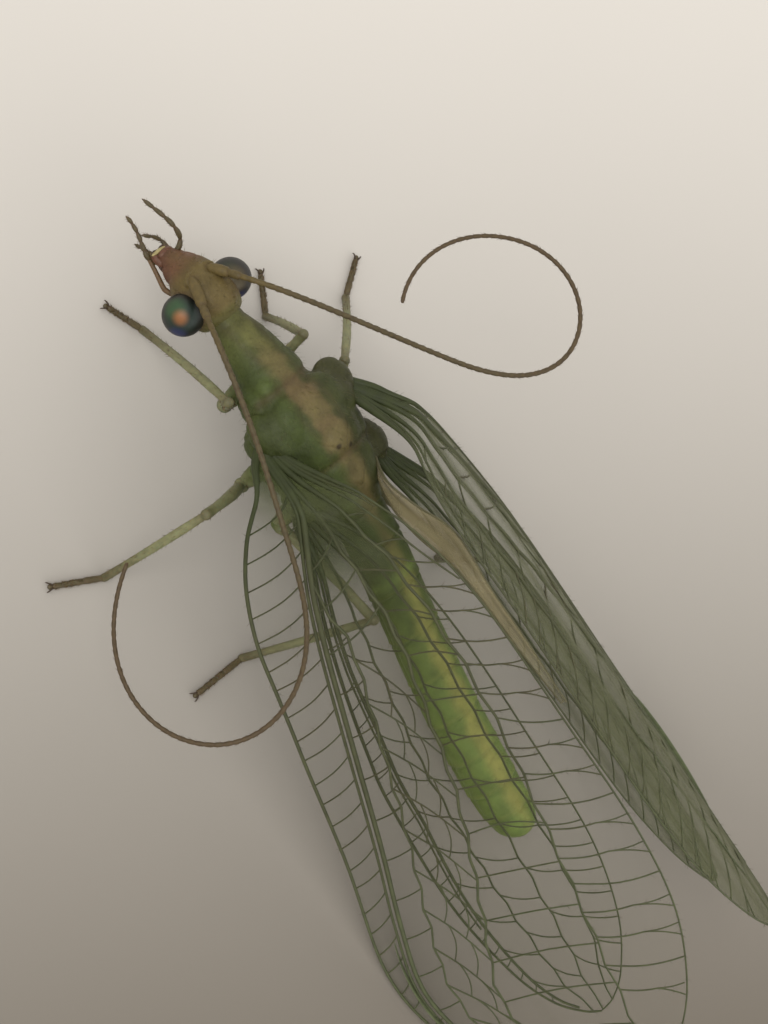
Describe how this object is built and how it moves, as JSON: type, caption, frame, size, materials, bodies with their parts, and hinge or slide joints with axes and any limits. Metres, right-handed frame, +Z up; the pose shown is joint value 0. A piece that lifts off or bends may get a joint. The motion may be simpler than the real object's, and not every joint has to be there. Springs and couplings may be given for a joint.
{
  "type": "green lacewing",
  "caption": "Still life-size green lacewing: slender green body, clear veined wings folded like a roof, thin legs and long curled feelers.",
  "frame": {"origin": "middle of the footprint's bounding box, on the floor the insect stands on", "axes": "+Z up, the head faces -Y, +X is the insect's left side"},
  "size_m": [0.0096, 0.0156, 0.0042],
  "materials": {
    "body": "waxy dark green, brighter on the abdomen, with a tan stripe that turns yellow",
    "head": "satin olive tan",
    "mouth": "satin red-brown",
    "eye": "dark metallic teal with a copper glint",
    "feeler": "satin tan-brown, ringed",
    "leg": "satin pale olive green",
    "wing": "clear membrane with green veins"
  },
  "bodies": {
    "root": {"head": "head", "mouthparts": "mouth", "prothorax": "body", "mesothorax": "body", "metathorax": "body", "abdomen": "body", "eye_left": "eye", "palp_maxillary_left": "mouth", "palp_labial_left": "mouth", "leg_front_left": "leg", "leg_middle_left": "leg", "leg_hind_left": "leg", "antenna_left_scape": "feeler", "antenna_left_base": "feeler", "antenna_left_middle": "feeler", "antenna_left_tip": "feeler", "forewing_left": "wing", "hindwing_left": "wing", "eye_right": "eye", "palp_maxillary_right": "mouth", "palp_labial_right": "mouth", "leg_front_right": "leg", "leg_middle_right": "leg", "leg_hind_right": "leg", "antenna_right_scape": "feeler", "antenna_right_base": "feeler", "antenna_right_middle": "feeler", "antenna_right_tip": "feeler", "forewing_right": "wing", "hindwing_right": "wing"}
  },
  "joints": []
}
